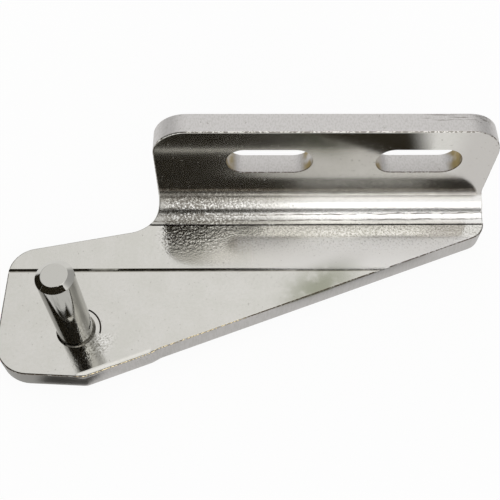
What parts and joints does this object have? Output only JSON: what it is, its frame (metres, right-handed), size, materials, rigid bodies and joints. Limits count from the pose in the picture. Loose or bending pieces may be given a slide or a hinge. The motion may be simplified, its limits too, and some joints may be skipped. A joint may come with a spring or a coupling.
{
  "type": "refrigerator door pivot bracket",
  "caption": "Folded steel plate with an upright slotted flange and a fixed pivot pin, which carries a refrigerator door.",
  "frame": {"origin": "on the pin's axis, in the plane of the plate's upper face", "axes": "+Z along the pin away from the plate, +X along the bend away from the pin, +Y towards the flange"},
  "size_m": [0.092, 0.04, 0.0272],
  "materials": {
    "plated_sheet": "bright plated stamped steel, slightly rippled",
    "plated_pin": "bright plated turned steel"
  },
  "bodies": {
    "root": {"hinge_plate": "plated_sheet", "pivot_pin": "plated_pin"}
  },
  "joints": []
}
